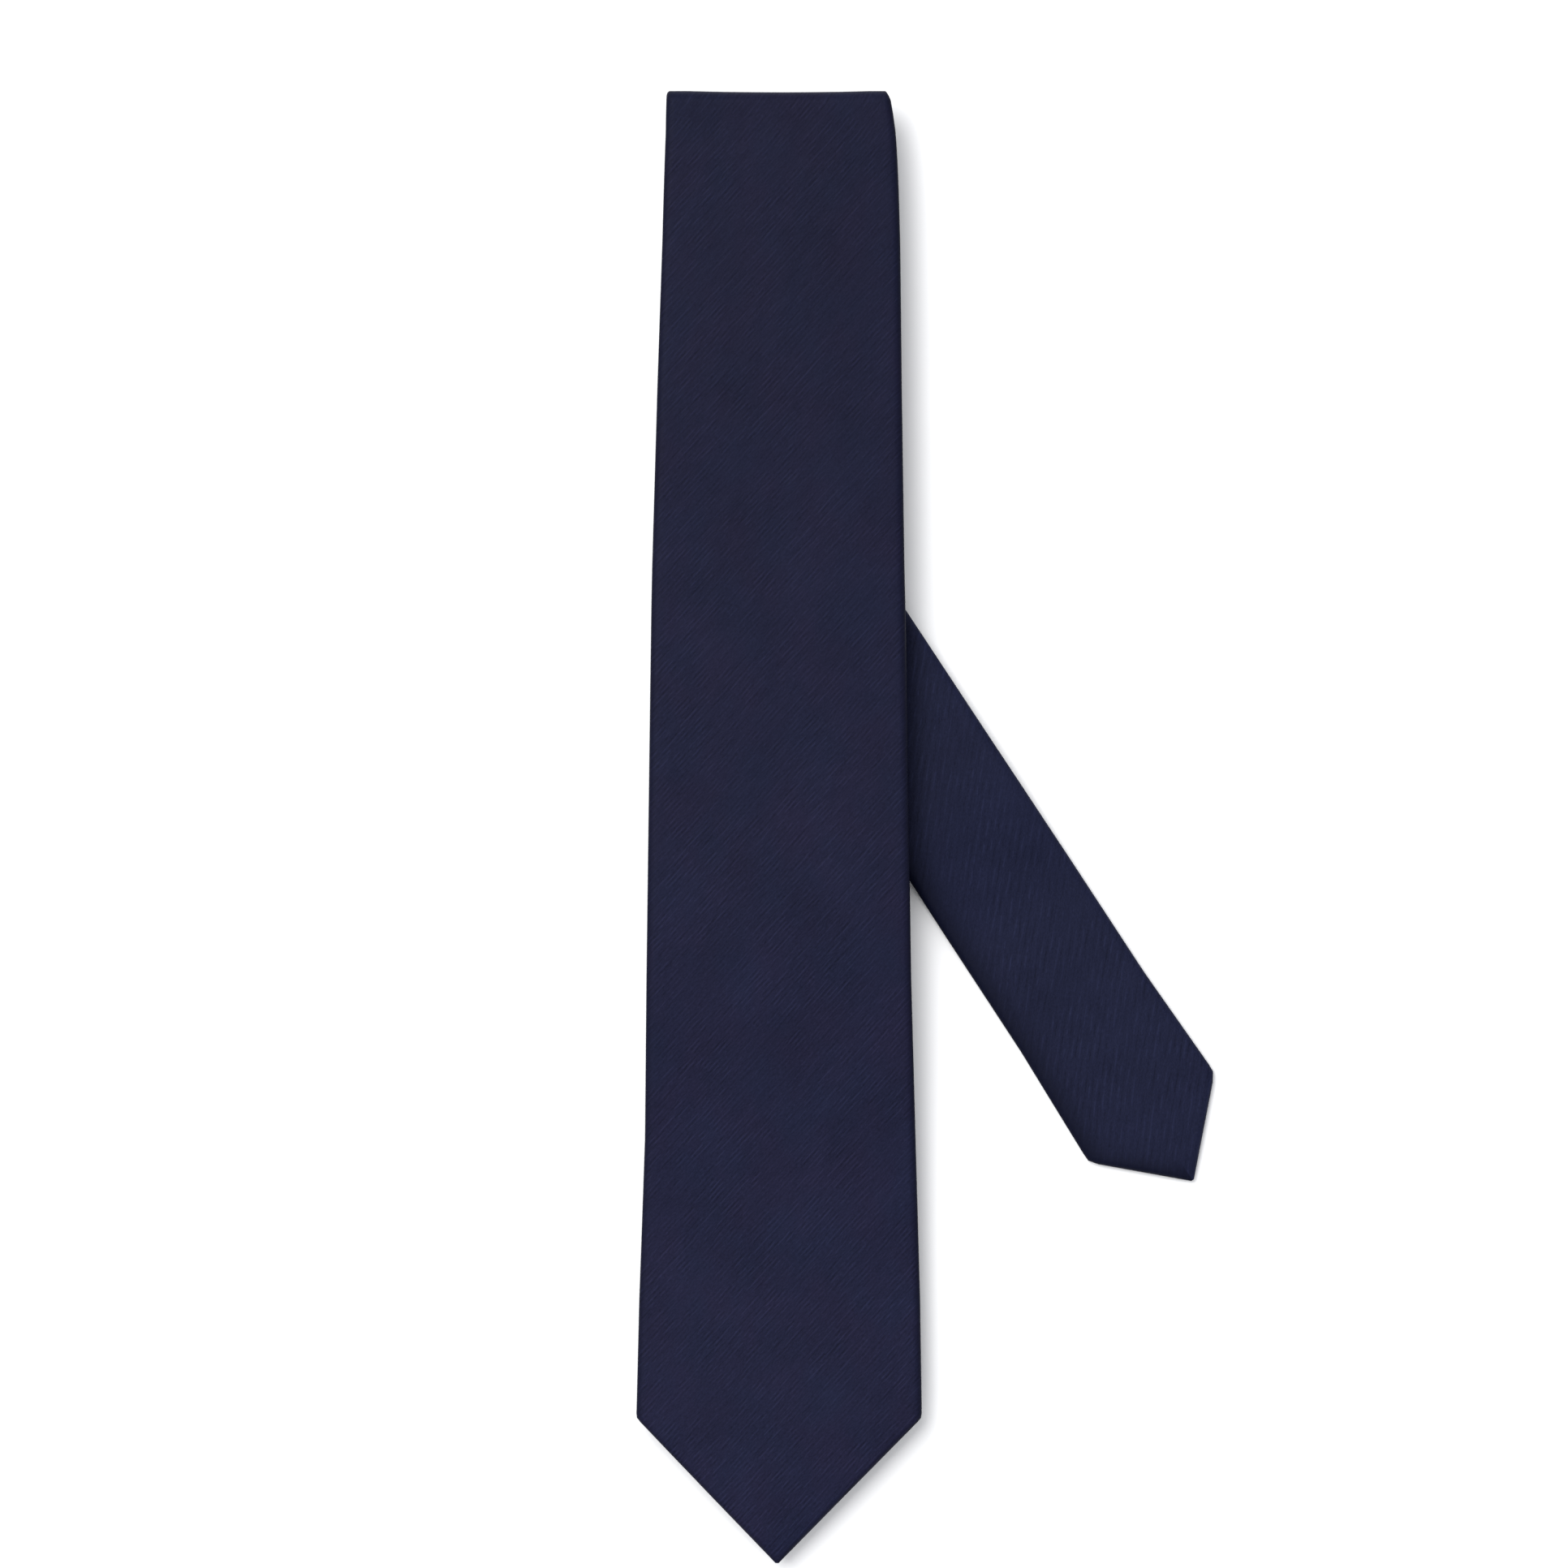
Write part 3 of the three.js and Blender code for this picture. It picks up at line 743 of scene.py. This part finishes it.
TIP_ROWS = [0.4, 0.9, 1.6]
SLANT_GAP = 0.05 / SIN  # keeps the two slanting ends apart when the fold is opened
blade_rows = even(0, TOP[0], [*TIP_ROWS, BLADE_POINT, 2 * BLADE_POINT])
under_rows, under_lean = lean_over(NECK[0], SLANT[0] + SLANT_GAP, -COS / SIN)
lead_rows, lead_lean = lean_over(TAIL_FALL[0], SLANT_GAP, COS / SIN)
end_rows = TAIL_LENGTH - np.array([*TIP_ROWS, 2 * TAIL_POINT])
free_rows = even(TAIL_FALL[0], TAIL_LENGTH, end_rows)
tail_rows = np.concatenate([lead_rows[:0:-1], free_rows])
tail_lean = np.concatenate([lead_lean[:0:-1], 0 * free_rows])

layers = {
    "front_blade": Stretch(lay_front, blade_rows, 0, 1),
    "second_layer": Stretch(lay_second, even(BOTTOM[0], TOP[0]), START_SECOND + TOP[0], -1),
    "third_layer": Stretch(lay_third, even(BOTTOM[0], NECK[0]), START_THIRD - BOTTOM[0], 1),
    "under_layer": Stretch(lay_under, under_rows, START_UNDER + NECK[0], -1, under_lean),
    "tail": Stretch(lay_tail, tail_rows, START_TAIL, 1, tail_lean),
}


def fold_stretch(fold, lay, end, sine=1.0, slant=0.0):
    """Half a turn that ends at strip distance end; the extra rows keep its rims smooth."""
    inside = np.linspace(0, np.pi, FOLD_STEPS + 1)[1:-1]
    turn = np.concatenate([[0, SEAM_ROW], inside, [np.pi - SEAM_ROW, np.pi]])
    length = bend_length(fold) / sine
    return Stretch(lay, turn, end - length, length / np.pi, slant=slant)


folds = {
    "top_fold": fold_stretch(TOP, lay_fold(TOP, 1, False, drawn=True), START_SECOND),
    "bottom_fold": fold_stretch(BOTTOM, lay_fold(BOTTOM, -1, True), START_THIRD),
    "neck_fold": fold_stretch(NECK, lay_fold(NECK, 1, False), START_UNDER),
    "slanting_fold": fold_stretch(SLANT, lay_slant, START_TAIL, SIN, COS / SIN),
}
print("rows:", {name: len(part.base) for name, part in (layers | folds).items()})

# %% [markdown]
# ## The silk shell
# The folds are pieces of their own. A fold's piece meets its neighbours edge to edge, and its map
# carries on from theirs, so the weave runs through.

# %% Shell pieces
fold_bodies = {
    "top_fold": ("second_layer", "front_blade", TOP),
    "bottom_fold": ("third_layer", "second_layer", BOTTOM),
    "neck_fold": ("under_layer", "third_layer", NECK),
    "slanting_fold": ("under_layer", "tail", SLANT),
}


def bend_with(piece, name):
    """The fold's piece, with its place baked into its points."""
    lower, upper, fold = fold_bodies[name]
    middle = fold[2] + LAYER / 2
    start, end = (tuple(place(0.0, fold[0], fold[1] + side * middle)) for side in (-1, 1))
    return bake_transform(piece)


silk_pieces = {}
cuts = {}
for name, stretch in (layers | folds).items():
    piece, width, mean_width = lay_shell(name, stretch)
    moved = bend_with(piece, name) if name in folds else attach(piece, name)
    silk_pieces[name] = moved
    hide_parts(f"shell_{name}")
    cuts[name] = (width * MM, float(np.ptp(stretch.distance())) * MM, mean_width * MM)
    print(f"{name}: cut {width:.1f} mm wide, {cuts[name][1] / MM:.1f} mm long")

# %% [markdown]
# ## The interlining and the tippings
# Inside the envelope lies a strip of napped wool, cut to the finished shape with soft edges.
# Behind each point a lining is sewn in its place. Both are slabs with rounded edges, laid by the
# same functions as the silk around them.

# %% Inner cloths
SIDE_STEPS, TOP_STEPS = 6, 9
SLANT_INSET, SLANT_REACH = 5.0, (70.0, 100.0)
LEAST_HALF = 1.2


def slab_section(wide, low, high):
    """A flat loop of half width wide, from height low to high, with half-round edges."""
    radius = (high - low) / 2
    turn = np.linspace(np.pi / 2, -np.pi / 2, SIDE_STEPS)[None]
    across_face = np.linspace(-1, 1, TOP_STEPS)[None, :-1]
    flat = wide - radius
    face = flat * across_face
    right_u = flat + radius * np.cos(turn)
    u = np.concatenate([face, right_u, -face, -right_u], axis=1)
    middle = (low + high) / 2
    edge_h = middle + radius * np.sin(turn)
    h = np.concatenate(
        [0 * face + high, edge_h + 0 * flat, 0 * face + low, 2 * middle - edge_h + 0 * flat], axis=1
    )
    return u, h


def inner_half(distance):
    """Half the inner cloth's width. It is trimmed back where the strip winds over obliquely."""
    trim = 1 - smoothstep(np.abs(distance - CREASE), *SLANT_REACH)
    return half_width(distance) - INNER_INSET - SLANT_INSET * trim


def lay_slab(name, stretch, low, high, finish):
    """One stretch of inner cloth between two heights in the layer."""
    wide = np.maximum(inner_half(stretch.distance())[:, None], LEAST_HALF)
    u, h = slab_section(wide, low, high)
    t = stretch.rows(u)
    uv = np.stack([u, stretch.strip(u, t)], axis=-1) * MM
    return slab_mesh(name, stretch.lay(u, t, h), uv, finish)


TIPPINGS = {"front_blade": 150.0, "tail": 75.0}
TIPPING_LOW = 0.6
TIPPING_START = 5.0
INNER_START = 6.0
OVER_TIPPING, TIPPING_FADE = TIPPING + 0.3, 8


def wool_low(stretch):
    """The interlining's lower face: it is raised where a tipping lies under it."""
    distance = stretch.distance()
    from_end = np.minimum(distance, TIE_LENGTH - distance)
    reach = np.where(distance < TIE_LENGTH / 2, TIPPINGS["front_blade"], TIPPINGS["tail"])
    beyond = smoothstep(from_end, reach, reach + TIPPING_FADE)
    return (INTERLINING_LOW + OVER_TIPPING * (1 - beyond))[:, None]


inner = dict(layers)
inner["front_blade"] = layers["front_blade"].between(INNER_START, TOP[0])
tail_kept = layers["tail"].base < TAIL_LENGTH - INNER_START
inner["tail"] = Stretch(lay_tail, tail_rows[tail_kept], START_TAIL, 1, tail_lean[tail_kept])
wools = {}
for name, stretch in (inner | folds).items():
    low = wool_low(stretch)
    piece = wools[name] = lay_slab(f"wool_{name}", stretch, low, INTERLINING_HIGH, wool)
    moved = bend_with(piece, name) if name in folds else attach(piece, name)
    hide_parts(f"interlining_{name}")

for name, reach in TIPPINGS.items():
    span = (TIPPING_START, reach)
    if name == "tail":
        span = (TAIL_LENGTH - reach, TAIL_LENGTH - TIPPING_START)
    stretch = layers[name].between(*span)
    piece = lay_slab(f"lining_{name}", stretch, TIPPING_LOW, TIPPING_LOW + TIPPING, lining)
    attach(piece, name)
    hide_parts(f"tipping_{name}")

# %% [markdown]
# ## Thread
# A tie's back seam is closed by one long slip stitch that stays loose, so that the tie gives when
# it is knotted. It dips into each flap in turn. At each end of the seam a bar tack, a few tight
# passes of thread from flap to flap, takes the strain.

# %% Slip stitch and bar tacks
THREAD_RADIUS = 0.14
THREAD_SIDES = 8
STITCH_PITCH = 9.0
STITCH_ROW = 0.5
SWING, THREAD_HIGH, THREAD_DIP = 0.30, 0.20, 0.12


def tube(points, radius):
    """Loops of a round section along a path: side and up are square to the path at each point."""
    ahead = np.gradient(points, axis=0)
    ahead /= np.linalg.norm(ahead, axis=1)[:, None]
    up = np.tile([0.0, 0.0, 1.0], (len(points), 1))
    side = np.cross(ahead, up)
    side /= np.linalg.norm(side, axis=1)[:, None]
    top = np.cross(side, ahead)
    turn = np.linspace(0, 2 * np.pi, THREAD_SIDES, endpoint=False)[None, :, None]
    return points[:, None] + radius * (np.cos(turn) * side[:, None] + np.sin(turn) * top[:, None])


def thread_piece(name, points):
    """A tube of thread through points in metres, mapped round and along itself."""
    loops = tube(points, THREAD_RADIUS * MM)
    run = np.concatenate([[0], np.cumsum(np.linalg.norm(np.diff(points, axis=0), axis=1))])
    around = np.linspace(0, 2 * np.pi * THREAD_RADIUS * MM, THREAD_SIDES)
    uv = np.stack(np.broadcast_arrays(around[None], run[:, None]), axis=-1)
    return slab_mesh(name, loops, uv, thread)


def slip_stitch(lay, start, end):
    """The thread swings from flap to flap and dips in at each one."""
    t = np.arange(start, end, STITCH_ROW)
    swing = 2 * np.pi * t / STITCH_PITCH
    return lay(SWING * np.sin(swing), t, THREAD_HIGH + THREAD_DIP * np.cos(2 * swing) ** 2)


seams = {
    "front_blade": (2 * BLADE_POINT + 1, TOP[0] - 1),
    "second_layer": (BOTTOM[0] + 1, TOP[0] - 1),
    "third_layer": (BOTTOM[0] + 1, NECK[0] - 1),
    "under_layer": (SLANT[0] + 4, NECK[0] - 1),
    "tail": (5, TAIL_LENGTH - 2 * TAIL_POINT - 1),
}
for name, (start, end) in seams.items():
    piece = thread_piece(f"seam_thread_{name}", slip_stitch(layers[name].lay, start, end))
    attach(piece, name)
    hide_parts(f"slip_stitch_{name}")

TACK_PASSES, PASS_STEPS, PASS_PITCH = 7, 12, 0.27
TACK_BELOW, TACK_PAST = 1.6, 1.2
TACK_HIGH, TACK_BOW = 0.22, 0.1
crotches = {"front_blade": (2 * BLADE_POINT, -1), "tail": (TAIL_LENGTH - 2 * TAIL_POINT, 1)}
for name, (at, towards) in crotches.items():
    sweep = np.linspace(0, TACK_PASSES, TACK_PASSES * PASS_STEPS)
    side = 2 * np.abs(sweep % 2 - 1) - 1
    t = at + towards * (TACK_BELOW + PASS_PITCH * sweep)
    h = TACK_HIGH + TACK_BOW * (1 - side**2)
    points = layers[name].lay((TACK_BELOW + TACK_PAST) * side, t, h)
    piece = thread_piece(f"tack_{name}", points)
    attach(piece, name)
    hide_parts(f"bar_tack_{name}")

# %% [markdown]
# ## Keeper and label
# The keeper is a narrow band of the same silk across the back of the blade, caught at both ends,
# that holds the tail when the tie is worn. Above the point sits a small satin label, left blank,
# held by a row of stitches at each end.

# %% Keeper loop and blank label
KEEPER_AT, KEEPER_WIDE, KEEPER_HALF, KEEPER_THICK = 216.0, 9.0, 24.0, 0.55
KEEPER_SLACK, KEEPER_GAP, KEEPER_ROWS, CAUGHT_FROM = 0.5, 0.05, 61, 0.72
LABEL_AT, LABEL_THICK, LABEL_GAP, LABEL_ROWS = 112.0, 0.35, 0.12, 25
STITCH_DIP, STITCH_STEPS = 0.18, 10


def band_section(wide, thick):
    """A loop (t, h) round a flat band with half-round edges."""
    half = np.full((1, 1), wide / 2)
    loop_t, loop_h = slab_section(half, -thick / 2, thick / 2)
    return loop_t[0], loop_h[0]


run = np.linspace(-1, 1, KEEPER_ROWS)[:, None]
bow = KEEPER_SLACK * (1 - smoothstep(np.abs(run), CAUGHT_FROM, 1.0))
loop_t, loop_h = band_section(KEEPER_WIDE, KEEPER_THICK)
keeper_points = lay_front(
    run * KEEPER_HALF + 0 * loop_t,
    KEEPER_AT + loop_t + 0 * run,
    loop_h - KEEPER_THICK / 2 - KEEPER_GAP - bow,
)
keeper_uv = np.stack(np.broadcast_arrays(run * KEEPER_HALF, loop_t[None]), axis=-1) * MM
keeper = slab_mesh("keeper_band", keeper_points, keeper_uv, silk)
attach(keeper, "front_blade")
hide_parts("keeper_loop")

run = np.linspace(-1, 1, LABEL_ROWS)[:, None]
loop_u, loop_h = band_section(2 * LABEL_HALF[0], LABEL_THICK)
label_points = lay_front(
    loop_u + 0 * run, LABEL_AT + run * LABEL_HALF[1], loop_h - LABEL_THICK / 2 - LABEL_GAP
)
label_uv = np.stack(np.broadcast_arrays(loop_u[None], run * LABEL_HALF[1]), axis=-1) * MM
label = slab_mesh("label_blank", label_points, label_uv, satin)
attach(label, "front_blade")
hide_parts("blank_label")


# each row of stitches: middle, half length, half distance apart, height and number of stitches
stitch_rows = {
    "label": (LABEL_AT, 9, LABEL_HALF[0] - 0.8, -0.42, 9),
    "keeper": (KEEPER_AT, 3.6, KEEPER_HALF - 1.2, -0.55, 4),
}
for side, sign in (("left", -1), ("right", 1)):
    for name, (middle, half, out, height, count) in stitch_rows.items():
        t = np.linspace(middle - half, middle + half, count * STITCH_STEPS)
        wave = np.sin(np.linspace(0, 2 * np.pi * count, len(t)))
        points = lay_front(sign * out + 0 * t, t, height - STITCH_DIP * wave)
        piece = thread_piece(f"{name}_stitch_{side}", points)
        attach(piece, "front_blade")
print("trim: keeper, label and", 2 * len(stitch_rows), "rows of stitches")

# %% [markdown]
# ## What each cloth was cut to
# Every stretch of shell was a flat piece of silk before it was folded, as wide as the distance
# round the envelope. The interlining, the linings and the label lie flat inside or on it. The
# short folds belong to the stretch beside them, and the narrow keeper belongs to the blade.

# %% The cloths' cut sizes, worked out for each stretch
beside = {
    "front_blade": ["top_fold"],
    "third_layer": ["bottom_fold"],
    "under_layer": ["neck_fold", "slanting_fold"],
}
for name in layers:
    width, length, mean_width = cuts[name]
    mean_width * length
    ([silk_pieces[fold] for fold in beside.get(name, [])]
        + ([keeper] if name == "front_blade" else []))
for name, stretch in inner.items():
    distance = stretch.distance()
    widths = 2 * inner_half(distance)
    length = np.ptp(distance)
    widths.max() * MM
    length * MM
    widths.mean() * length * MM**2

# %% [markdown]
# ## The table's finish
# The table is a matte off-white board with the faintest grain, so that it never competes with
# the cloth.

# %% Table finish
board = Finish("pale_board", 0.85, Specular_IOR_Level=0.2)
spot = board.node("ShaderNodeTexCoord", output="Object")
grain = board.node("ShaderNodeTexNoise", values={"Vector": spot, "Scale": 40.0})
board.colour(grain, (0.90, 0.90, 0.90), (0.93, 0.93, 0.93))
table.data.materials.append(board.material)
